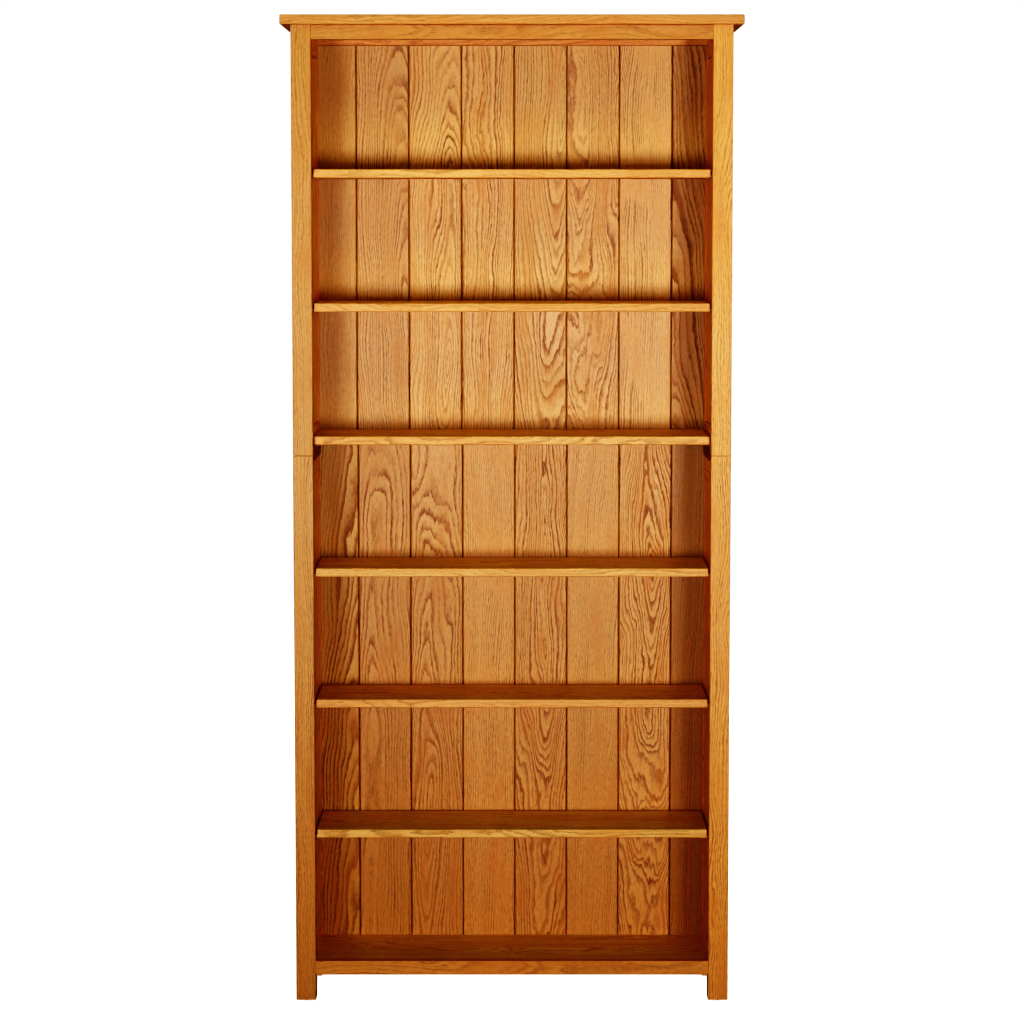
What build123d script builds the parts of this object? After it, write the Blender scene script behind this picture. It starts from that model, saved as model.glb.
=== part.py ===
from build123d import *
import os

# A tall oak bookcase that comes apart: two pairs of side frames stand one on the other, the
# middle shelf is fixed over the joint, and five more shelves lie on pull-out pins.
# Millimetres, +Z up, the front faces -Y, and the origin is on the floor under the middle.

# ---- overall sizes ----
width = 800.0  # across the top board
depth = 225.0  # top board, front to back
height = 1732.0  # floor to the upper face of the top board
tiers = 7  # open tiers between the bottom board and the top rails
tiers_above_joint = 3  # tiers above the fixed middle shelf
top_tier_extra = 5.0  # how much taller the top tier is than the others
leg_clearance = 49.0  # floor to the bottom rails

# ---- top board ----
top_thickness = 17.0
top_side_overhang = 18.0
top_front_overhang = 12.0
top_edge_radius = 2.5

# ---- side frames ----
post_width = 35.0  # seen from the front
post_depth = 38.0  # seen from the side
post_edge_radius = 2.0
post_end_chamfer = 1.0
side_rail_height = 50.0
side_rail_thickness = 25.0
rail_edge_radius = 1.2
tenon_length = 22.0
tenon_thickness = 8.0
tenon_start = 6.0  # from the inner face of the frame to the tenon
tenon_end_margin = 20.0  # the tenon stays this far from the end of the post
tenon_inner_margin = 8.0  # and this far from the rail's inner edge
panel_thickness = 14.0
panel_recess = 1.0  # from the inner face of the frame
panel_gap = 1.5  # open joint round the panel, for the wood to move
panel_edge_chamfer = 1.0
tongue_start = 7.0  # from the inner face of the frame to the panel groove
tongue_thickness = 5.6
tongue_reach = 6.0  # how far the panel's tongue enters the frame
groove_depth = 7.0
groove_slack = 0.2  # on each side of the panel's tongue

# ---- cross rails, boards and shelves ----
rail_height = 25.0  # top and bottom cross rails
front_rail_thickness = 20.0
rear_rail_thickness = 22.0
rail_setback = 1.0  # from the posts' front faces
board_thickness = 15.0  # bottom board
board_tongue_thickness = 5.0
board_tongue_length = 6.0
shelf_thickness = 15.0
shelf_setback = 18.0  # from the posts' front faces
shelf_rear_gap = 9.0  # between an adjustable shelf and the back
shelf_side_gap = 2.5
shelf_edge_radius = 2.0
middle_side_gap = 1.5

# ---- shelf pins and their holes ----
pin_radius = 2.5
pin_in_post = 10.0
pin_under_shelf = 14.0  # from the post's face
pin_end_chamfer = 0.6
pin_inset = 11.0  # from the posts' facing edges to the holes
pin_fit = 0.05  # radial
pin_gap = 0.25  # under the ceiling of the shelf's pocket
pocket_side_gap = 0.75
pocket_length = 25.0
hole_pitch = 32.0
hole_rows = 5  # for each adjustable shelf
hole_extra_depth = 0.5

# ---- back ----
back_thickness = 10.0
back_boards = 8  # in each half
back_rebate = 25.0  # how far the boards lap onto the rear posts
back_side_gap = 0.5
back_end_gap = 0.2
back_joint_lap = 1.5  # how far up the middle shelf's rear edge the two backs meet
outer_board_trim = 12.0  # taken off the two outer boards together
upper_back_shift = 3.8  # the outer boards are trimmed unequally
lower_back_shift = 5.1
bead_depth = 2.0  # chamfer on each side of a joint between boards
board_joint_gap = 0.6
back_tongue_length = 4.0
back_tongue_thickness = 3.2
back_tongue_slack = 0.15

# ---- steel angles over the joint between the halves ----
angle_thickness = 2.0
angle_height = 28.0  # of the leg on the posts
angle_width = 12.0  # of the leg under the middle shelf
angle_root_radius = 1.0
angle_above_joint = 18.0
angle_setback = 2.0  # from the shelf's front edge
angle_rear_gap = 9.0

# ---- fasteners ----
screw_fit = 0.05
hole_end_gap = 0.5
small_screw = {"radius": 1.75, "head_radius": 3.5, "length": 25.0}
top_screw = {"radius": 2.0, "head_radius": 4.0, "length": 35.0}
recess_width = 0.9
recess_depth = 1.2
recess_share = 1.1  # length of a screw's cross recess, as a share of its head's radius
nearby = 1.0  # margin when looking for the screws that pass a shape
top_screw_inset = 97.0
outer_board_screw_inset = 24.0
post_screw_line = 15.0  # from the post's inner face to the back screws
post_screw_margin = 90.0
upper_post_screws = 3  # back screws along each upper rear post
lower_post_screws = 4
shelf_screw = {"radius": 1.75, "head_radius": 3.5, "length": 13.0}
angle_screw_inset = 10.0  # from a post's facing edge
angle_screw_above = 9.0  # the joint
angle_screw_below = 5.0
shelf_screw_inset = 32.0  # from each end of an angle
dowel_radius = 4.0
dowel_length = 40.0
dowel_chamfer = 1.0
dowel_fit = 0.05
joint_dowel_line = 23.0  # from the post's inner face
cam_radius = 7.5
cam_inset = 24.0  # from the end of the rail to the cam
cam_past_bolt = 4.0
bolt_radius = 2.5
bolt_in_frame = 12.0
bolt_past_cam_centre = 1.5
bottom_cam_inset = 45.0  # from the bottom board's front and rear edges

# ---- glides ----
glide_radius = 8.0
glide_foot_radius = 5.0
glide_height = 4.0
glide_rim = 1.4
glide_bulge_inset = 0.7  # where the dome's curve passes, from the rim's radius
glide_bulge_share = 0.4  # and up the dome, as a share of its height
glide_nail_radius = 2.0
glide_nail_length = 12.0

# ---- places worked out from the sizes ----
half_carcass = width / 2 - top_side_overhang
half_inner = half_carcass - post_width
front_y = -depth / 2 + top_front_overhang
rear_y = depth / 2
back_y = rear_y - back_thickness
front_post_y = front_y + post_depth
rear_post_y = rear_y - post_depth
top_z = height - top_thickness
top_rail_z = top_z - rail_height
floor_board_z = leg_clearance + rail_height
shelf_pitch = (top_rail_z - floor_board_z + shelf_thickness - top_tier_extra) / tiers
middle_level = tiers - tiers_above_joint
middle_z = floor_board_z + middle_level * shelf_pitch
middle_under_z = middle_z - shelf_thickness
joint_z = middle_under_z - angle_above_joint
back_joint_z = middle_under_z + back_joint_lap
shelf_y = front_y + shelf_setback
half_shelf = half_inner - shelf_side_gap
front_pin_y = front_post_y - pin_inset
rear_pin_y = rear_post_y + pin_inset
half_back = half_inner + back_rebate - back_side_gap
board_cover = (2 * half_back + outer_board_trim) / back_boards
levels = [n for n in range(tiers - 1, 0, -1) if n != middle_level]
shelf_tops = [floor_board_z + n * shelf_pitch for n in levels]
halves = {"upper": (joint_z, top_z), "lower": (glide_height, joint_z)}
rail_lows = {
    "upper": (joint_z, top_z - side_rail_height),
    "lower": (leg_clearance, joint_z - side_rail_height),
}


def block(x_span, y_span, z_span):
    """A rectangular solid between two limits on each axis."""
    spans = (x_span, y_span, z_span)
    size = [abs(high - low) for low, high in spans]
    centre = [(high + low) / 2 for low, high in spans]
    return Pos(*centre) * Box(*size)


def rod(radius, length):
    """A round bar that starts at the origin and runs along +Z."""
    return Cylinder(radius, length, align=(Align.CENTER, Align.CENTER, Align.MIN))


def aimed(shape, point, direction):
    """Moves a shape made along +Z to a point, turned to a direction."""
    return Plane(origin=point, z_dir=direction) * shape


def mirrored(shape):
    return mirror(shape, about=Plane.YZ)


def eased(shape, radius, *axes):
    """Rounds the edges that run along the given axes."""
    edges = ShapeList()
    for axis in axes:
        edges += shape.edges().filter_by(axis)
    return fillet(edges, radius)


# ---- fasteners ----
def screw_body(kind, grow=0.0):
    """A countersunk screw: its head's face is at the origin and it points along +Z."""
    radius = kind["radius"]
    head_radius = kind["head_radius"]
    head_height = head_radius - radius
    centred = (Align.CENTER, Align.CENTER, Align.MIN)
    head = Cone(head_radius + grow, radius + grow, head_height, align=centred)
    end_gap = hole_end_gap if grow else 0.0
    return head + rod(radius + grow, kind["length"] + end_gap)


def screw(kind, point, direction):
    body = screw_body(kind)
    reach = kind["head_radius"] * recess_share
    across = Box(reach, recess_width, 2 * recess_depth)
    body = body - across - Rot(0, 0, 90) * across
    return aimed(body, point, direction)


def screw_hole(kind, point, direction):
    return aimed(screw_body(kind, screw_fit), point, direction)


def dowel(point, direction):
    """A fluted-size dowel pin centred on a joint."""
    bar = chamfer(rod(dowel_radius, dowel_length).edges(), dowel_chamfer)
    return aimed(Pos(0, 0, -dowel_length / 2) * bar, point, direction)


def dowel_hole(point, direction):
    length = dowel_length + 2 * hole_end_gap
    return aimed(Pos(0, 0, -length / 2) * rod(dowel_radius + dowel_fit, length), point, direction)


def cam_depth(thickness):
    return thickness / 2 + cam_past_bolt


def cam_fitting(end_point, thickness, face):
    """A cam and the bolt that it draws, at the +X end of a rail; the cam enters from one face."""
    centre = end_point - Vector(cam_inset, 0, 0)
    mouth = centre + face * (thickness / 2)
    depth_in = cam_depth(thickness) - hole_end_gap
    cam = aimed(rod(cam_radius - dowel_fit, depth_in), mouth, -face)
    bolt_length = bolt_in_frame + cam_inset + bolt_past_cam_centre
    bolt_start = centre - Vector(bolt_past_cam_centre, 0, 0)
    bolt = aimed(rod(bolt_radius, bolt_length), bolt_start, (1, 0, 0))
    bore = aimed(rod(bolt_radius + dowel_fit, bolt_length), bolt_start, (1, 0, 0))
    slot = aimed(Box(cam_radius, recess_width, 2 * recess_depth), mouth, -face)
    return [cam - bore - slot, bolt]


def cam_holes(end_point, thickness, face):
    """The cam's bore and the bolt's bore, for the rail and the frame together."""
    centre = end_point - Vector(cam_inset, 0, 0)
    mouth = centre + face * (thickness / 2)
    bore = aimed(rod(cam_radius, cam_depth(thickness)), mouth, -face)
    start = centre - Vector(bolt_past_cam_centre, 0, 0)
    length = bolt_in_frame + cam_inset + bolt_past_cam_centre + hole_end_gap
    return bore + aimed(rod(bolt_radius + dowel_fit, length), start, (1, 0, 0))


def glide(point):
    """A round plastic glide with a nail in the foot of the post."""
    low = (glide_foot_radius, 0)
    bulge = (glide_radius - glide_bulge_inset, (glide_height - glide_rim) * glide_bulge_share)
    high = (glide_radius, glide_height - glide_rim)
    arc = ThreePointArc(low, bulge, high)
    nail_top = glide_height + glide_nail_length
    rest = Polyline(
        high,
        (glide_radius, glide_height),
        (glide_nail_radius, glide_height),
        (glide_nail_radius, nail_top),
        (0, nail_top),
        (0, 0),
        low,
    )
    profile = Rot(90, 0, 0) * make_face(arc + rest)
    return Pos(point[0], point[1], 0) * revolve(profile, Axis.Z)


# ---- where the fasteners go, all on the +X side ----
def post_centre(post):
    middle = (front_y + front_post_y) / 2 if post == "front" else (rear_y + rear_post_y) / 2
    return (half_inner + post_width / 2, middle)


joint_dowels = [
    (Vector(half_inner + joint_dowel_line, post_centre(post)[1], joint_z), (0, 0, 1))
    for post in ("front", "rear")
]
rail_centre_y = front_y + rail_setback + front_rail_thickness / 2
rear_rail_centre_y = back_y - rear_rail_thickness / 2
rail_dowel = (Vector(half_inner, rail_centre_y, leg_clearance + rail_height / 2), (1, 0, 0))
bottom_board_z = floor_board_z - board_thickness
bottom_mid_z = floor_board_z - board_thickness / 2
bottom_front_y = front_y + rail_setback + front_rail_thickness
bottom_dowel = (Vector(half_inner, (bottom_front_y + back_y) / 2, bottom_mid_z), (1, 0, 0))
side_dowels = joint_dowels + [rail_dowel, bottom_dowel]

top_rail_mid_z = top_z - rail_height / 2
cams = {
    "top_front_rail": [
        (Vector(half_inner, rail_centre_y, top_rail_mid_z), front_rail_thickness, Vector(0, 1, 0))
    ],
    "top_rear_rail": [
        (Vector(half_inner, rear_rail_centre_y, top_rail_mid_z), rail_height, Vector(0, 0, -1))
    ],
    "bottom_board": [
        (Vector(half_inner, y, bottom_mid_z), board_thickness, Vector(0, 0, -1))
        for y in (bottom_front_y + bottom_cam_inset, back_y - bottom_cam_inset)
    ],
}

angle_y = (shelf_y + angle_setback, back_y - angle_rear_gap)
angle_side_screws = [
    (Vector(half_inner - angle_thickness, y, z), (1, 0, 0))
    for y in (front_post_y - angle_screw_inset, rear_post_y + angle_screw_inset)
    for z in (joint_z + angle_screw_above, joint_z - angle_screw_below)
]
shelf_screw_x = half_inner - (angle_width + angle_thickness) / 2
shelf_screws = [
    (Vector(shelf_screw_x, y, middle_under_z - angle_thickness), (0, 0, 1))
    for y in (angle_y[0] + shelf_screw_inset, angle_y[1] - shelf_screw_inset)
]

top_screws = [
    (Vector(side * (half_inner - top_screw_inset), y, top_rail_z), (0, 0, 1))
    for side in (-1, 0, 1)
    for y in (rail_centre_y, rear_rail_centre_y)
]


def spread(low, high, count):
    return [low + (high - low) * n / (count - 1) for n in range(count)]


post_screw_heights = {
    "upper": spread(joint_z + post_screw_margin, top_z - post_screw_margin, upper_post_screws),
    "lower": spread(
        leg_clearance + post_screw_margin, joint_z - post_screw_margin, lower_post_screws
    ),
}
back_row_heights = {
    "upper": (top_rail_mid_z, middle_under_z + shelf_thickness / 2),
    "lower": (bottom_mid_z,),
}
back_shifts = {"upper": upper_back_shift, "lower": lower_back_shift}


def board_edges(half):
    """The lines between the back boards of one half, from left to right."""
    inner = [
        back_shifts[half] + (n - back_boards / 2) * board_cover for n in range(1, back_boards)
    ]
    return [-half_back] + inner + [half_back]


def board_screw_x(half, index):
    left, right = board_edges(half)[index:index + 2]
    if index == 0:
        return right - outer_board_screw_inset
    if index == back_boards - 1:
        return left + outer_board_screw_inset
    return (left + right) / 2


def back_screw_points(half):
    rows = [
        Vector(board_screw_x(half, index), rear_y, z)
        for z in back_row_heights[half]
        for index in range(back_boards)
    ]
    columns = [
        Vector(side * (half_inner + post_screw_line), rear_y, z)
        for z in post_screw_heights[half]
        for side in (-1, 1)
    ]
    return rows + columns


back_screws = [
    (point, (0, -1, 0)) for half in halves for point in back_screw_points(half)
]


def cut_screws(shape, kind, places):
    """Cuts the holes of the screws that pass near a shape."""
    bounds = shape.bounding_box()
    for point, direction in places:
        reach = point + Vector(*direction) * kind["length"]
        ends = zip(tuple(point), tuple(reach), tuple(bounds.min), tuple(bounds.max))
        apart = [
            max(start, end) < low - nearby or min(start, end) > high + nearby
            for start, end, low, high in ends
        ]
        if not any(apart):
            shape = shape - screw_hole(kind, point, direction)
    return shape


# ---- side frames, made on the +X side ----
def rail_tenon_span(half, place):
    low = rail_lows[half][0 if place == "bottom" else 1]
    high = low + side_rail_height
    if place == "bottom":
        return (low + tenon_end_margin, high - tenon_inner_margin)
    return (low + tenon_inner_margin, high - tenon_end_margin)


def panel_opening(half):
    return (rail_lows[half][0] + side_rail_height, rail_lows[half][1])


def groove_x(slack):
    low = half_inner + tongue_start
    return (low - slack, low + tongue_thickness + slack)


def side_post(half, post):
    """A post, with its panel groove, mortises, pin holes and, at the rear, its rebate."""
    z_low, z_high = halves[half]
    centre_x, centre_y = post_centre(post)
    sketch = RectangleRounded(post_width, post_depth, post_edge_radius)
    shape = Pos(centre_x, centre_y, z_low) * extrude(sketch, z_high - z_low)
    faces = shape.faces().sort_by(Axis.Z)
    open_ends = [faces[0], faces[-1]] if half == "lower" else [faces[0]]
    for face in open_ends:
        shape = chamfer(face.edges(), post_end_chamfer)
    inward = 1 if post == "front" else -1
    edge_y = front_post_y if post == "front" else rear_post_y
    low, high = panel_opening(half)
    groove_z = (low - groove_depth, high + groove_depth)
    shape -= block(groove_x(groove_slack), (edge_y - inward * groove_depth, edge_y), groove_z)
    tenon_x = half_inner + tenon_start
    for place in ("bottom", "top"):
        tenon_low, tenon_high = rail_tenon_span(half, place)
        shape -= block(
            (tenon_x - pin_fit, tenon_x + tenon_thickness + pin_fit),
            (edge_y - inward * (tenon_length + hole_end_gap), edge_y),
            (tenon_low - groove_slack, tenon_high + groove_slack),
        )
    if post == "rear":
        rebate_low = max(z_low, leg_clearance)
        shape -= block(
            (half_inner, half_inner + back_rebate), (back_y, rear_y), (rebate_low, z_high)
        )
    pin_y = front_pin_y if post == "front" else rear_pin_y
    for z in pin_hole_heights(half):
        hole = rod(pin_radius + pin_fit, pin_in_post + hole_extra_depth)
        shape -= aimed(hole, (half_inner, pin_y, z), (1, 0, 0))
    for point, direction in side_dowels:
        shape -= dowel_hole(point, direction)
    for places in cams.values():
        for place in places:
            shape -= cam_holes(*place)
    shape = cut_screws(shape, small_screw, angle_side_screws + back_screws)
    if half == "lower":
        nail = rod(glide_nail_radius + pin_fit, glide_nail_length + hole_end_gap)
        shape -= Pos(centre_x, centre_y, glide_height) * nail
    return shape


def pin_height(top):
    return top - shelf_thickness + pin_radius


def pin_hole_heights(half):
    z_low, z_high = halves[half]
    rows = range(-(hole_rows // 2), hole_rows // 2 + 1)
    heights = [pin_height(top) + row * hole_pitch for top in shelf_tops for row in rows]
    return [z for z in heights if z_low < z < z_high]


def side_rail(half, place):
    """A rail between two posts, with a tenon at each end and a groove for the panel."""
    low = rail_lows[half][0 if place == "bottom" else 1]
    high = low + side_rail_height
    body = block(
        (half_inner, half_inner + side_rail_thickness), (front_post_y, rear_post_y), (low, high)
    )
    shape = eased(body, rail_edge_radius, Axis.Y)
    if place == "bottom":
        groove_z = (high - groove_depth, high)
    else:
        groove_z = (low, low + groove_depth)
    shape -= block(groove_x(groove_slack), (front_post_y, rear_post_y), groove_z)
    tenon_x = half_inner + tenon_start
    shape += block(
        (tenon_x, tenon_x + tenon_thickness),
        (front_post_y - tenon_length, rear_post_y + tenon_length),
        rail_tenon_span(half, place),
    )
    shape -= dowel_hole(*bottom_dowel)
    for place_of_cam in cams["bottom_board"]:
        shape -= cam_holes(*place_of_cam)
    return shape


def side_panel(half):
    """A panel whose tongue floats in the grooves of the frame."""
    low, high = panel_opening(half)
    body = block(
        (half_inner + panel_recess, half_inner + panel_recess + panel_thickness),
        (front_post_y + panel_gap, rear_post_y - panel_gap),
        (low + panel_gap, high - panel_gap),
    )
    body = chamfer(body.faces().filter_by(Axis.X).edges(), panel_edge_chamfer)
    tongue = block(
        groove_x(0),
        (front_post_y - tongue_reach, rear_post_y + tongue_reach),
        (low - tongue_reach, high + tongue_reach),
    )
    return body + tongue


# ---- boards across the carcass ----
def both_ends(shape, cutter):
    return shape - cutter - mirrored(cutter)


def cross_rail(name, z_low, y_low, y_high):
    body = block((-half_inner, half_inner), (y_low, y_high), (z_low, z_low + rail_height))
    shape = eased(body, rail_edge_radius, Axis.X)
    for place in cams.get(name, []):
        shape = both_ends(shape, cam_holes(*place))
    shape = cut_screws(shape, top_screw, top_screws)
    return cut_screws(shape, small_screw, back_screws)


def top_board():
    body = block((-width / 2, width / 2), (-depth / 2, rear_y), (top_z, height))
    rear_edges = body.faces().sort_by(Axis.Y)[-1].edges()
    kept = [edge for edge in body.edges() if edge not in rear_edges]
    shape = fillet(kept, top_edge_radius)
    return cut_screws(shape, top_screw, top_screws)


def bottom_front_rail():
    y_low = front_y + rail_setback
    shape = cross_rail("bottom_front_rail", leg_clearance, y_low, bottom_front_y)
    shape = both_ends(shape, dowel_hole(*rail_dowel))
    return shape - bottom_tongue(groove_slack)


def bottom_tongue(slack):
    half_thick = board_tongue_thickness / 2 + slack
    return block(
        (-half_inner, half_inner),
        (bottom_front_y - board_tongue_length - slack, bottom_front_y),
        (bottom_mid_z - half_thick, bottom_mid_z + half_thick),
    )


def bottom_board():
    """The lowest board, tongued into the front rail."""
    shape = block(
        (-half_inner, half_inner), (bottom_front_y, back_y), (bottom_board_z, floor_board_z)
    )
    shape += bottom_tongue(0)
    shape = both_ends(shape, dowel_hole(*bottom_dowel))
    for place in cams["bottom_board"]:
        shape = both_ends(shape, cam_holes(*place))
    return cut_screws(shape, small_screw, back_screws)


def shelf_blank(half_length, y_high, top):
    body = block(
        (-half_length, half_length), (shelf_y, y_high), (top - shelf_thickness, top)
    )
    front = body.faces().sort_by(Axis.Y)[0]
    return fillet(front.edges().filter_by(Axis.X), shelf_edge_radius)


def middle_shelf():
    shape = shelf_blank(half_inner - middle_side_gap, back_y, middle_z)
    for point, direction in shelf_screws:
        shape = both_ends(shape, screw_hole(shelf_screw, point, direction))
    return cut_screws(shape, small_screw, back_screws)


def adjustable_shelf(top):
    """A loose shelf with four pockets under it that hide the pins."""
    shape = shelf_blank(half_shelf, back_y - shelf_rear_gap, top)
    under = top - shelf_thickness
    half_wide = pin_radius + pocket_side_gap
    for y in (front_pin_y, rear_pin_y):
        x_inner = half_shelf - pocket_length
        pocket = block(
            (x_inner, half_inner),
            (y - half_wide, y + half_wide),
            (under, under + 2 * pin_radius + pin_gap),
        )
        round_end = Pos(x_inner, y, under) * rod(half_wide, 2 * pin_radius + pin_gap)
        shape = both_ends(shape, pocket + round_end)
    return shape


def shelf_pins(top):
    """The two pins at the +X end of one shelf."""
    length = pin_in_post + pin_under_shelf
    bar = chamfer(rod(pin_radius, length).edges(), pin_end_chamfer)
    start_x = half_inner - pin_under_shelf
    return [
        aimed(bar, (start_x, y, pin_height(top)), (1, 0, 0)) for y in (front_pin_y, rear_pin_y)
    ]


# ---- back boards ----
def back_board(half, index):
    """A tongued and grooved board with a bead chamfer along each joint."""
    edges = board_edges(half)
    first = index == 0
    last = index == back_boards - 1
    left = edges[index] + (0 if first else board_joint_gap / 2)
    right = edges[index + 1] - (0 if last else board_joint_gap / 2)
    mid_y = (back_y + rear_y) / 2
    tongue = back_tongue_thickness / 2
    slot = tongue + back_tongue_slack
    reach = back_tongue_length
    outline = [(left, rear_y)]
    if not first:
        outline += [
            (left, mid_y + slot),
            (left + reach, mid_y + slot),
            (left + reach, mid_y - slot),
            (left, mid_y - slot),
            (left, back_y + bead_depth),
            (left + bead_depth, back_y),
        ]
    else:
        outline += [(left, back_y)]
    if not last:
        outline += [
            (right - bead_depth, back_y),
            (right, back_y + bead_depth),
            (right, mid_y - tongue),
            (right + reach, mid_y - tongue),
            (right + reach, mid_y + tongue),
            (right, mid_y + tongue),
        ]
    else:
        outline += [(right, back_y)]
    outline += [(right, rear_y)]
    z_low = back_joint_z + back_end_gap if half == "upper" else leg_clearance
    z_high = top_z if half == "upper" else back_joint_z - back_end_gap
    face = make_face(Polyline(*outline, close=True))
    shape = Pos(0, 0, z_low) * extrude(face, z_high - z_low)
    return cut_screws(shape, small_screw, back_screws)


def joining_angle():
    """A steel angle screwed across the joint between the halves; the middle shelf lies on it."""
    leg_on_posts = block(
        (half_inner - angle_thickness, half_inner),
        angle_y,
        (middle_under_z - angle_height, middle_under_z),
    )
    leg_under_shelf = block(
        (half_inner - angle_width, half_inner),
        angle_y,
        (middle_under_z - angle_thickness, middle_under_z),
    )
    shape = leg_on_posts + leg_under_shelf
    root = shape.edges().filter_by(Axis.Y).sort_by(
        lambda edge: abs(edge.center().X - half_inner + angle_thickness)
        + abs(edge.center().Z - middle_under_z + angle_thickness)
    )[0]
    shape = fillet(root, angle_root_radius)
    for point, direction in shelf_screws:
        shape -= screw_hole(shelf_screw, point, direction)
    return cut_screws(shape, small_screw, angle_side_screws)


# ---- the whole bookcase ----
def both_sides(solids):
    return list(solids) + [mirrored(solid) for solid in solids]


def make_nodes():
    nodes = {
        "top_board": top_board(),
        "top_front_rail": cross_rail(
            "top_front_rail", top_rail_z, front_y + rail_setback, bottom_front_y
        ),
        "top_rear_rail": cross_rail(
            "top_rear_rail", top_rail_z, back_y - rear_rail_thickness, back_y
        ),
        "bottom_front_rail": bottom_front_rail(),
        "bottom_board": bottom_board(),
        "middle_shelf": middle_shelf(),
        "joining_angles": both_sides([joining_angle()]),
    }
    for half in halves:
        for post in ("front", "rear"):
            shape = side_post(half, post)
            nodes[f"{half}_right_{post}_post"] = shape
            nodes[f"{half}_left_{post}_post"] = mirrored(shape)
        rails = [side_rail(half, place) for place in ("bottom", "top")]
        nodes[f"{half}_right_side_rails"] = rails
        nodes[f"{half}_left_side_rails"] = [mirrored(rail) for rail in rails]
        panel = side_panel(half)
        nodes[f"{half}_right_side_panel"] = panel
        nodes[f"{half}_left_side_panel"] = mirrored(panel)
        for index in range(back_boards):
            nodes[f"{half}_back_board_{index + 1}"] = back_board(half, index)
    for number, top in enumerate(shelf_tops, 1):
        nodes[f"adjustable_shelf_{number}"] = adjustable_shelf(top)
        pins = shelf_pins(top)
        nodes[f"shelf_pins_{number}_right"] = pins
        nodes[f"shelf_pins_{number}_left"] = [mirrored(pin) for pin in pins]
    nodes["joint_dowels"] = both_sides([dowel(*place) for place in side_dowels])
    fittings = [cam_fitting(*place) for places in cams.values() for place in places]
    nodes["cam_fittings"] = both_sides([solid for pair in fittings for solid in pair])
    angle_screws = [screw(small_screw, *place) for place in angle_side_screws]
    angle_screws += [screw(shelf_screw, *place) for place in shelf_screws]
    nodes["angle_screws"] = both_sides(angle_screws)
    nodes["top_screws"] = [screw(top_screw, *place) for place in top_screws]
    nodes["back_screws"] = [screw(small_screw, *place) for place in back_screws]
    nodes["glides"] = both_sides([glide(post_centre(post)) for post in ("front", "rear")])
    return nodes


os.makedirs("parts", exist_ok=True)
for name, shape in make_nodes().items():
    pieces = shape if isinstance(shape, list) else [shape]
    solids = [solid for piece in pieces for solid in piece.solids()]
    export_step(Compound(children=solids), f"parts/{name}.step")
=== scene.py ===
import math
import random

import bpy
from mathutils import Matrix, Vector


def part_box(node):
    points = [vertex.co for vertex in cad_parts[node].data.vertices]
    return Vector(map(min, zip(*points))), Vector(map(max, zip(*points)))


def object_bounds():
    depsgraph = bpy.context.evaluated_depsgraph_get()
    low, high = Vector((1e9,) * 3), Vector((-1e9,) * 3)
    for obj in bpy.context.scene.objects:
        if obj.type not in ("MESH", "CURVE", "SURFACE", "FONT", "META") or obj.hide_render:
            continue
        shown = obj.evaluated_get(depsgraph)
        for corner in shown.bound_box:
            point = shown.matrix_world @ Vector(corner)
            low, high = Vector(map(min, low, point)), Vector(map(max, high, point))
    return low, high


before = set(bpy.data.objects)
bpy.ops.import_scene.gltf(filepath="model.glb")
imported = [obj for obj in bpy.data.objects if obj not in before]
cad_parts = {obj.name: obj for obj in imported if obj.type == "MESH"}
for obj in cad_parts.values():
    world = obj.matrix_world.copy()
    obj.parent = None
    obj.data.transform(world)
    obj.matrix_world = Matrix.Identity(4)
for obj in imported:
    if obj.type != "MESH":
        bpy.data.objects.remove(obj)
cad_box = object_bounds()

# ---------------------------------------------------------------- settings
MM = 1000.0

# camera, in metres: it looks down a little, so that the lens needs hardly any shift
EYE_HEIGHT = 1.38
EYE_TO_FRONT = 5.33
LENS = 108.04
PITCH = math.radians(5.05)
SHIFT_Y = -0.02
CLIP_END = 100.0

# oak colours, linear
OAK_LIGHT = (0.76, 0.442, 0.158)
OAK_DARK = (0.30, 0.103, 0.022)
OAK_RED = (0.62, 0.262, 0.065)
OAK_WORN = (0.83, 0.49, 0.205)
GROOVE_SHADE = (0.05, 0.012, 0.002)

# grain textures, turns per millimetre across the grain and along it
DRIFT = (0.016, 0.0045)
RAGGED = (0.16, 0.045)
PORES = (1.15, 0.11)
HAIRS = (4.2, 0.30)
FLECKS = (0.50, 0.10)
MOTTLE = (0.035, 0.009)

# how far the rings wander and how ragged they are, in millimetres
DRIFT_REACH = 46.0
RAGGED_REACH = 4.2
# darkness across one ring, from its dark start to the next
RING_PROFILE = ((0.0, 1.0), (0.16, 0.85), (0.42, 0.22), (0.75, 0.0), (0.90, 0.12), (1.0, 1.0))

# wear along the edges, and painted shade in the grooves between the back boards, in millimetres
WEAR_REACH = 1.8
WEAR_RAGGED = 2.4
GROOVE_FROM, GROOVE_TO = 0.8, 2.2
GROOVE_SHADE_SHARE = 0.75

# the view's tone curve, linear light in and out, with a deep toe
TONE_CURVE = (
    (0.022, 0.001), (0.047, 0.003), (0.0835, 0.0135), (0.133, 0.050), (0.197, 0.109),
    (0.274, 0.226), (0.367, 0.352), (0.477, 0.510), (0.639, 0.700),
)


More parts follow.
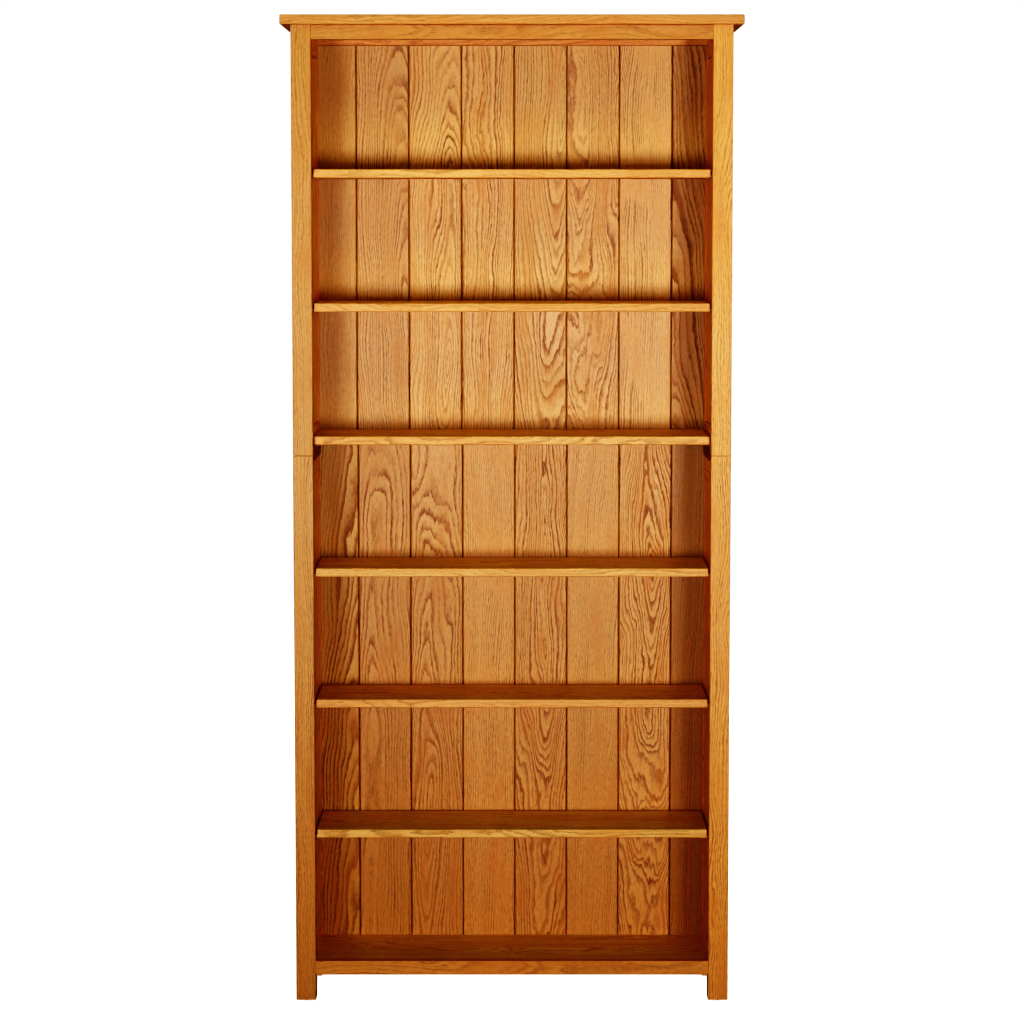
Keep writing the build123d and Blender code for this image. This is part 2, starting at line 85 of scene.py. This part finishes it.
class Nodes:
    """Short names for the shader nodes that the materials are built from."""

    def __init__(self, name):
        self.material = bpy.data.materials.new(name)
        self.material.use_nodes = True
        self.tree = self.material.node_tree
        self.shader = self.tree.nodes["Principled BSDF"]

    def add(self, kind, **settings):
        node = self.tree.nodes.new(kind)
        for key, value in settings.items():
            setattr(node, key, value)
        return node

    def join(self, value, socket):
        if isinstance(value, bpy.types.NodeSocket):
            self.tree.links.new(value, socket)
        else:
            socket.default_value = value

    def math(self, operation, a, b=0.0, c=0.0, clamp=False):
        node = self.add("ShaderNodeMath", operation=operation, use_clamp=clamp)
        for value, socket in zip((a, b, c), node.inputs):
            self.join(value, socket)
        return node.outputs[0]

    def plus(self, a, b):
        return self.math("ADD", a, b)

    def minus(self, a, b):
        return self.math("SUBTRACT", a, b)

    def times(self, a, b):
        return self.math("MULTIPLY", a, b)

    def swing(self, value, reach):
        """A texture value between 0 and 1 as a swing of half the reach to either side."""
        return self.times(self.minus(value, 0.5), reach)

    def vector(self, operation, a, b=(0.0, 0.0, 0.0), c=(0.0, 0.0, 0.0), scale=1.0):
        node = self.add("ShaderNodeVectorMath", operation=operation)
        for value, socket in zip((a, b, c, scale), node.inputs):
            self.join(value, socket)
        return node.outputs[0]

    def combine(self, x, y, z):
        node = self.add("ShaderNodeCombineXYZ")
        for value, socket in zip((x, y, z), node.inputs):
            self.join(value, socket)
        return node.outputs[0]

    def separate(self, vector):
        node = self.add("ShaderNodeSeparateXYZ")
        self.join(vector, node.inputs[0])
        return node.outputs[0], node.outputs[1], node.outputs[2]

    def noise(self, vector, detail=2.0, rough=0.5, colour=False):
        node = self.add("ShaderNodeTexNoise")
        self.join(vector, node.inputs["Vector"])
        node.inputs["Scale"].default_value = 1.0
        node.inputs["Detail"].default_value = detail
        node.inputs["Roughness"].default_value = rough
        return node.outputs["Color" if colour else "Fac"]

    def grain(self, place, scales, offset):
        """A texture place drawn out along the grain; place is across, through and along it."""
        across, along = scales
        scales = (across, across, along)
        scaled = self.combine(*(self.times(part, scale) for part, scale in zip(place, scales)))
        return self.vector("ADD", scaled, offset)

    def white(self, vector):
        node = self.add("ShaderNodeTexWhiteNoise", noise_dimensions="3D")
        self.join(vector, node.inputs["Vector"])
        return node.outputs["Color"]

    def ramp(self, value, stops):
        node = self.add("ShaderNodeValToRGB")
        ramp = node.color_ramp
        while len(ramp.elements) < len(stops):
            ramp.elements.new(0.5)
        for element, (place, level) in zip(ramp.elements, stops):
            element.position = place
            element.color = (level, level, level, 1.0)
        self.join(value, node.inputs[0])
        return node.outputs[0]

    def span(self, value, low, high, to_low=0.0, to_high=1.0):
        node = self.add("ShaderNodeMapRange", clamp=True, interpolation_type="SMOOTHSTEP")
        for given, socket in zip((value, low, high, to_low, to_high), node.inputs):
            self.join(given, socket)
        return node.outputs[0]

    def mix(self, share, a, b, blend="MIX"):
        node = self.add("ShaderNodeMix", data_type="RGBA", blend_type=blend)
        self.join(share, node.inputs["Factor"])
        for value, socket in ((a, node.inputs[6]), (b, node.inputs[7])):
            self.join(value if isinstance(value, bpy.types.NodeSocket) else (*value, 1.0), socket)
        return node.outputs[2]

    def bump(self, height, strength, distance):
        node = self.add("ShaderNodeBump")
        node.inputs["Strength"].default_value = strength
        node.inputs["Distance"].default_value = distance
        self.join(height, node.inputs["Height"])
        self.join(node.outputs[0], self.shader.inputs["Normal"])

    def set(self, **values):
        for key, value in values.items():
            self.join(value, self.shader.inputs[key.replace("_", " ")])


AXES = {"X": 0, "Y": 1, "Z": 2}


def local_millimetres(n, low, high):
    """The point on the piece, in millimetres from the middle of its box, and the face's direction."""
    centre = [(a + b) / 2 for a, b in zip(low, high)]
    coords = n.add("ShaderNodeTexCoord")
    point = n.vector("SUBTRACT", coords.outputs["Object"], tuple(centre))
    return n.vector("SCALE", point, scale=MM), coords.outputs["Normal"]


def edge_distance(n, point, low, high):
    """How far a point of the surface is from the nearest edge of its box."""
    half = [(b - a) / 2 * MM for a, b in zip(low, high)]
    inward = [n.minus(size, n.math("ABSOLUTE", part)) for size, part in zip(half, n.separate(point))]
    small = n.math("MINIMUM", inward[0], inward[1])
    large = n.math("MAXIMUM", inward[0], inward[1])
    return n.math("MAXIMUM", small, n.math("MINIMUM", large, inward[2]))


def staves(n, rng, across, along, width, length, seed):
    """Glued-up boards: each stave has a pith, a lean, a shade and a texture place of its own."""
    column = n.math("FLOOR", n.plus(n.math("DIVIDE", across, width), rng.uniform(0, 1)))
    start = n.times(n.math("SINE", n.times(column, 12.9 + rng.uniform(0, 3))), 997.0)
    block = n.math("FLOOR", n.math("DIVIDE", n.plus(along, start), length))
    chance = n.white(n.combine(column, block, seed[0]))
    r1, r2, r3 = n.separate(chance)
    pith = (n.math("MULTIPLY_ADD", r1, 150.0, -75.0), n.math("MULTIPLY_ADD", r2, 60.0, 30.0))
    lean = n.math("MULTIPLY_ADD", r3, 0.16, -0.08)
    return pith, lean, r2, n.vector("MULTIPLY_ADD", chance, (90.0, 90.0, 90.0), seed)


def ring_lines(n, place, pith, lean, spacing, wobble, seed, drift_seed):
    """Growth rings round a pith that wanders behind the face, each with a strength of its own."""
    across, through, along = place
    drift = n.noise(n.grain(place, DRIFT, drift_seed), 1.5, 0.5, colour=True)
    drift_across, drift_through, _ = n.separate(drift)
    side = n.minus(n.minus(across, pith[0]), n.times(along, lean[0]))
    side = n.plus(side, n.swing(drift_across, DRIFT_REACH * wobble))
    deep = n.plus(n.plus(through, pith[1]), n.times(along, lean[1]))
    deep = n.plus(deep, n.swing(drift_through, DRIFT_REACH * wobble))
    radius = n.math("SQRT", n.plus(n.times(side, side), n.times(deep, deep)))
    radius = n.plus(radius, n.swing(n.noise(n.grain(place, RAGGED, seed), 2.0), RAGGED_REACH * wobble))
    season = n.noise(n.combine(n.times(radius, 0.06), seed[1], 0.0), 1.0)
    phase = n.plus(n.math("DIVIDE", radius, spacing), n.times(season, 3.0))
    line = n.ramp(n.math("FRACT", phase), RING_PROFILE)
    chance = n.separate(n.white(n.combine(n.math("FLOOR", phase), seed[2], 0.0)))[0]
    return n.times(line, n.math("MULTIPLY_ADD", chance, 0.65, 0.35))


def oak(name, node, along, across, pith=(0.0, 60.0), lean=(0.0, 0.08), spacing=4.0, contrast=0.8,
        wobble=1.0, tone_and_light=(1.0, 1.0, 1.0), stave=None, stave_length=300.0, worn=0.35, plain=0.0,
        groove_shade=False, upper=None):
    """Oiled oak. pith is where the middle of the tree lies, across and behind the face, in
    millimetres; lean is how fast it moves off along the grain, which draws the arches."""
    n = Nodes(name)
    rng = random.Random(name)
    low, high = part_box(node)
    point, normal = local_millimetres(n, low, high)
    parts = n.separate(point)
    through = ({"X", "Y", "Z"} - {along, across}).pop()
    place = (parts[AXES[across]], parts[AXES[through]], parts[AXES[along]])
    seed = tuple(rng.uniform(-500, 500) for _ in range(3))
    drift_seed = seed
    shade = None
    if stave:
        pith, lean_through, shade, drift_seed = staves(n, rng, place[0], place[2], stave, stave_length, seed)
        lean = (lean[0], lean_through)
    line = ring_lines(n, place, pith, lean, spacing, wobble, seed, drift_seed)
    # short dark pores, hairs and flecks, drawn out along the grain
    pores = n.noise(n.grain(place, PORES, seed), 3.0, 0.65)
    hair = n.noise(n.grain(place, HAIRS, seed), 2.0, 0.6)
    fleck = n.noise(n.grain(place, FLECKS, seed), 2.5, 0.7)
    mottle = n.noise(n.grain(place, MOTTLE, seed), 2.0, 0.55)
    # calm areas of the board show hardly any rings
    line = n.times(line, n.span(mottle, 0.40, 0.62, 1.0, 1.0 - plain))
    broken = n.times(line, n.math("MULTIPLY_ADD", pores, 1.1, 0.45))
    dark = n.plus(n.times(broken, contrast), n.times(n.span(pores, 0.50, 0.66), 0.30))
    dark = n.plus(dark, n.swing(fleck, 0.75))
    dark = n.math("ADD", dark, n.swing(hair, 0.40), clamp=True)
    colour = n.mix(dark, OAK_LIGHT, OAK_DARK)
    colour = n.mix(n.span(mottle, 0.42, 0.72, 0.0, 0.40), colour, OAK_RED)
    if shade:
        colour = n.mix(n.times(shade, 0.34), colour, OAK_RED)
    facing = n.math("ABSOLUTE", n.separate(normal)[AXES[along]])
    end_grain = n.span(facing, 0.55, 0.9)
    colour = n.mix(n.times(end_grain, 0.55), colour, OAK_DARK)
    edge = n.plus(edge_distance(n, point, low, high), n.swing(pores, WEAR_RAGGED))
    colour = n.mix(n.span(edge, 0.0, WEAR_REACH, worn, 0.0), colour, OAK_WORN)
    if groove_shade:
        # painted shade: every surface deeper than GROOVE_FROM behind the board's front face is darkened,
        # which paints shade into the grooves between the back boards
        thickness = (high[AXES[through]] - low[AXES[through]]) * MM
        depth = n.plus(place[1], thickness / 2)
        colour = n.mix(n.span(depth, GROOVE_FROM, GROOVE_TO, 0.0, GROOVE_SHADE_SHARE), colour, GROOVE_SHADE)
    if upper:
        # painted light: upper faces are made paler and yellower, standing in for the light that falls on
        # them
        face = n.span(n.separate(normal)[AXES["Z"]], 0.55, 0.9)
        colour = n.mix(face, colour, n.mix(1.0, colour, upper, "MULTIPLY"))
    # the piece's tone: partly its own colour, and on some pieces painted light or shade
    colour = n.mix(1.0, colour, tone_and_light, "MULTIPLY")
    rough = n.plus(n.math("MULTIPLY_ADD", dark, 0.22, 0.36), n.swing(mottle, 0.20))
    rough = n.math("ADD", rough, n.times(end_grain, 0.15), clamp=True)
    n.set(Base_Color=colour, Roughness=rough)
    n.bump(n.plus(n.times(dark, -0.7), n.times(hair, -0.3)), 0.45, 0.0006)
    return n.material


def dress(node, material):
    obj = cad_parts[node]
    obj.data.materials.clear()
    obj.data.materials.append(material)


# ---------------------------------------------------------------- oak pieces
# for boards 1 to 8 from the left: pith across and behind, lean across and behind, ring spacing,
# contrast, wobble, share of plain areas, and the board's tone, partly its own and partly painted light:
# boards 1 and 8 beside the sides are darkened as painted shadow, and the lower boards are darker and
# less yellow than the upper ones as painted shade for the dimmer light lower down
BACK_FIGURE_AND_SHADE = {
    "upper": (
        (140, 60, 0.00, 0.02, 3.4, 0.40, 0.8, 0.5, (0.83, 0.79, 0.68)),
        (44, 34, -0.05, 0.09, 4.0, 0.85, 0.7, 0.4, (0.90, 0.88, 0.97)),
        (20, 26, 0.01, 0.09, 4.2, 1.00, 0.8, 0.2, (1.05, 1.07, 1.20)),
        (-70, 60, 0.06, 0.05, 3.4, 1.00, 0.8, 0.2, (1.02, 1.02, 1.13)),
        (26, 34, 0.03, -0.10, 4.4, 0.95, 0.8, 0.2, (0.99, 1.01, 1.13)),
        (-24, 30, -0.03, -0.09, 4.4, 0.90, 1.3, 0.3, (0.98, 0.97, 1.09)),
        (150, 60, 0.00, 0.03, 3.8, 0.90, 0.7, 0.8, (1.02, 1.05, 1.22)),
        (-60, 60, -0.06, 0.04, 5.5, 0.90, 0.7, 0.1, (0.80, 0.76, 0.73)),
    ),
    "lower": (
        (60, 60, 0.05, 0.05, 5.5, 1.00, 0.8, 0.2, (0.84, 0.79, 0.58)),
        (-22, 24, 0.02, 0.06, 5.8, 0.90, 0.8, 0.7, (0.84, 0.77, 0.69)),
        (-14, 28, 0.02, 0.09, 5.0, 0.95, 0.9, 0.3, (0.91, 0.85, 0.81)),
        (-120, 60, 0.03, 0.03, 3.0, 0.70, 0.7, 0.5, (1.00, 0.95, 0.95)),
        (4, 26, 0.01, -0.09, 4.6, 0.95, 1.1, 0.2, (0.95, 0.90, 0.89)),
        (150, 60, 0.03, 0.03, 3.2, 0.70, 0.7, 0.6, (0.95, 0.91, 0.90)),
        (8, 36, 0.01, -0.13, 4.2, 1.00, 1.2, 0.0, (1.01, 1.00, 1.03)),
        (120, 60, 0.02, 0.02, 4.0, 0.60, 0.7, 0.4, (0.70, 0.61, 0.48)),
    ),
}
for half, boards in BACK_FIGURE_AND_SHADE.items():
    for number, (*figure, spacing, contrast, wobble, plain, tone_and_light) in enumerate(boards, 1):
        node = f"{half}_back_board_{number}"
        dress(node, oak(f"oak_{node}", node, "Z", "X", figure[:2], figure[2:], spacing, contrast, wobble,
                        tone_and_light, worn=0.0, plain=plain, groove_shade=True))

# painted light: the left front posts are darkened as painted shade, and the left side panels are made paler
# than the right ones as painted light on their inner faces
POST_TONE = (1.27, 1.09, 0.88)
LEFT_FRONT_SHADE = (1.00, 0.85, 0.69)
RAIL_TONE = (0.96, 0.74, 0.54)
BOTTOM_RAIL_TONE = (1.08, 0.90, 0.66)
SIDE_RAIL_TONE = (1.27, 1.14, 1.00)
PANEL_TONE_AND_LIGHT = {"left": (1.27, 1.26, 1.30), "right": (1.25, 1.12, 0.92)}
POST_PITH = {"left": (-60, 40), "right": (50, 40)}
for half in ("upper", "lower"):
    for side in ("left", "right"):
        for place in ("front", "rear"):
            node = f"{half}_{side}_{place}_post"
            tone_and_light = LEFT_FRONT_SHADE if (side, place) == ("left", "front") else POST_TONE
            dress(node, oak(f"oak_{node}", node, "Z", "X", POST_PITH[side], (0.01, 0.05), contrast=0.7,
                            tone_and_light=tone_and_light, plain=0.3))
        node = f"{half}_{side}_side_rails"
        dress(node, oak(f"oak_{node}", node, "Y", "Z", (40, 60), (0.0, 0.05), 5.0, 0.6,
                        tone_and_light=SIDE_RAIL_TONE))
        node = f"{half}_{side}_side_panel"
        dress(node, oak(f"oak_{node}", node, "Z", "Y", spacing=5.0, contrast=0.7, stave=47.0,
                        stave_length=2000.0, tone_and_light=PANEL_TONE_AND_LIGHT[side]))

for node in ("top_front_rail", "top_rear_rail", "bottom_front_rail"):
    tone_and_light = BOTTOM_RAIL_TONE if node == "bottom_front_rail" else RAIL_TONE
    dress(node, oak(f"oak_{node}", node, "X", "Z", (20, 50), (0.02, 0.05), 5.0, 0.6, plain=0.3, tone_and_light=tone_and_light))

SHELF_TONE = (1.26, 1.18, 1.24)
BOARD_TONE = {
    "top_board": (1.17, 1.00, 0.98),
    "adjustable_shelf_3": (1.28, 1.25, 1.32),
    "adjustable_shelf_5": (1.30, 1.38, 1.40),
    "bottom_board": (1.30, 1.34, 1.28),
}
# painted light on the upper faces of the shelves and boards
UPPER_FACE_LIGHT = (0.98, 1.28, 0.95)
shelves = [f"adjustable_shelf_{number}" for number in range(1, 6)]
for node in ["top_board", "bottom_board", "middle_shelf"] + shelves:
    dress(node, oak(f"oak_{node}", node, "X", "Y", spacing=4.5, contrast=0.6, stave=45.0,
                    stave_length=330.0, worn=0.25, tone_and_light=BOARD_TONE.get(node, SHELF_TONE), upper=UPPER_FACE_LIGHT))


# ---------------------------------------------------------------- fittings
def grained(name, node, light, dark, scale, rough, metallic=0.0, bump=0.2):
    """A fitting's surface: fine brushed or moulded texture, mottled in colour and gloss."""
    n = Nodes(name)
    low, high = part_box(node)
    point, _ = local_millimetres(n, low, high)
    scaled = (n.times(part, size) for part, size in zip(n.separate(point), scale))
    fine = n.noise(n.combine(*scaled), 3.0, 0.6)
    wide = n.noise(n.vector("SCALE", point, scale=0.15), 2.0)
    share = n.plus(n.times(fine, 0.6), n.times(wide, 0.4))
    n.set(Base_Color=n.mix(n.span(share, 0.35, 0.68), light, dark),
          Roughness=n.span(share, 0.3, 0.7, rough[0], rough[1]), Metallic=metallic)
    n.bump(fine, bump, 0.0002)
    return n.material


steel = grained("pin_steel", "shelf_pins_1_left", (0.66, 0.64, 0.61), (0.42, 0.41, 0.39),
                (0.2, 3.0, 3.0), (0.22, 0.42), metallic=1.0)
for number in range(1, 6):
    for side in ("left", "right"):
        dress(f"shelf_pins_{number}_{side}", steel)
screw = grained("screw_steel", "back_screws", (0.62, 0.52, 0.30), (0.38, 0.30, 0.16),
                (2.0, 0.4, 2.0), (0.25, 0.5), metallic=1.0)
for node in ("angle_screws", "top_screws", "back_screws"):
    dress(node, screw)
dress("cam_fittings", grained("zinc", "cam_fittings", (0.60, 0.60, 0.62), (0.36, 0.36, 0.38),
                              (0.9, 0.9, 0.9), (0.35, 0.6), metallic=1.0, bump=0.4))
dress("joining_angles", grained("brown_steel", "joining_angles", (0.24, 0.052, 0.010), (0.12, 0.024, 0.005),
                                (1.2, 0.5, 1.2), (0.35, 0.55), bump=0.3))
dress("joint_dowels", grained("beech_dowel", "joint_dowels", (0.78, 0.60, 0.40), (0.58, 0.40, 0.23),
                              (0.5, 2.0, 0.5), (0.5, 0.7)))
dress("glides", grained("black_plastic", "glides", (0.035, 0.033, 0.032), (0.012, 0.012, 0.012),
                        (1.6, 1.6, 1.6), (0.32, 0.6), bump=0.35))

# ---------------------------------------------------------------- floor
FLOOR_RADIUS = 14.0
FLOOR_GLOW = 0.95
bpy.ops.mesh.primitive_circle_add(vertices=96, radius=FLOOR_RADIUS, fill_type="NGON", location=(0, 0, 0))
floor = bpy.context.object
floor.name = "studio_floor"
n = Nodes("pale_floor")
coords = n.add("ShaderNodeTexCoord")
cloud = n.noise(n.vector("SCALE", coords.outputs["Object"], scale=1.3), 3.0)
n.set(Base_Color=n.mix(cloud, (0.90, 0.90, 0.90), (0.94, 0.94, 0.94)),
      Roughness=n.span(cloud, 0.3, 0.7, 0.7, 0.85))
n.shader.inputs["Emission Color"].default_value = (1.0, 1.0, 1.0, 1.0)
n.shader.inputs["Emission Strength"].default_value = FLOOR_GLOW
floor.data.materials.append(n.material)
floor.visible_diffuse = False
floor.visible_glossy = False

# ---------------------------------------------------------------- world
# the camera sees a white backdrop, while the pieces get a faint warm fill
FILL_LIGHT = 0.078
world = bpy.data.worlds.new("studio")
bpy.context.scene.world = world
world.use_nodes = True
tree = world.node_tree
for old in list(tree.nodes):
    tree.nodes.remove(old)


def background(colour, strength):
    node = tree.nodes.new("ShaderNodeBackground")
    node.inputs["Color"].default_value = (*colour, 1.0)
    node.inputs["Strength"].default_value = strength
    return node.outputs[0]


out = tree.nodes.new("ShaderNodeOutputWorld")
path = tree.nodes.new("ShaderNodeLightPath")
both = tree.nodes.new("ShaderNodeMixShader")
tree.links.new(path.outputs["Is Camera Ray"], both.inputs[0])
tree.links.new(background((1.0, 0.98, 0.96), FILL_LIGHT), both.inputs[1])
tree.links.new(background((1.0, 1.0, 1.0), 1.0), both.inputs[2])
tree.links.new(both.outputs[0], out.inputs[0])


# ---------------------------------------------------------------- lights
WARM = (1.0, 0.41, 0.034)
AMBER = (0.86, 0.92, 0.08)
WHITE = (1.0, 1.0, 1.0)


def softbox(name, place, target, size, power, spread=180.0, colour=WHITE, wide=None):
    """A soft area lamp, size high and wide across, that the camera doesn't see."""
    data = bpy.data.lights.new(name, "AREA")
    data.shape = "RECTANGLE"
    data.size = wide or size
    data.size_y = size
    data.energy = power
    data.spread = math.radians(spread)
    data.color = colour
    lamp = bpy.data.objects.new(name, data)
    bpy.context.scene.collection.objects.link(lamp)
    lamp.location = place
    lamp.rotation_euler = (Vector(target) - Vector(place)).to_track_quat("-Z", "Y").to_euler()
    lamp.visible_camera = False


# two keys at knee height draw the shadows at the sides and above the upper shelves
softbox("key_right", (1.60, -5.7, 0.70), (0.0, 0.0, 1.30), 0.95, 9.0, 47.0)
softbox("key_left", (-1.6, -5.7, 0.70), (0.0, 0.0, 1.30), 0.95, 7.9, 47.0)
# a warm lamp near the floor for the lower tiers, and an amber one above for the shelves' upper faces
softbox("low_warm", (0.2, -5.7, 0.5), (0.0, 0.0, 0.0), 0.5, 0.43, 18.0, WARM, 1.8)
softbox("overhead", (0.0, -2.3, 3.1), (0.0, 0.0, 1.5), 0.6, 0.95, 44.0, AMBER, 1.4)
softbox("rear_left", (-3.2, 3.6, 2.0), (0.0, 0.0, 0.9), 2.4, 150.0)
softbox("rear_right", (3.2, 3.6, 2.0), (0.0, 0.0, 0.9), 2.4, 110.0)

# ---------------------------------------------------------------- camera
view = bpy.data.cameras.new("camera")
view.lens = LENS
view.sensor_width = 36.0
view.shift_y = SHIFT_Y
view.clip_end = CLIP_END
camera = bpy.data.objects.new("camera", view)
bpy.context.scene.collection.objects.link(camera)
camera.location = (0.0, cad_box[0][1] - EYE_TO_FRONT, EYE_HEIGHT)
camera.rotation_euler = (math.radians(90.0) - PITCH, 0.0, 0.0)
bpy.context.scene.camera = camera

settings = bpy.context.scene.view_settings
settings.view_transform = "Standard"
settings.use_curve_mapping = True
combined_curve = settings.curve_mapping.curves[3]
for light_in, light_out in TONE_CURVE:
    combined_curve.points.new(light_in, light_out)
settings.curve_mapping.update()
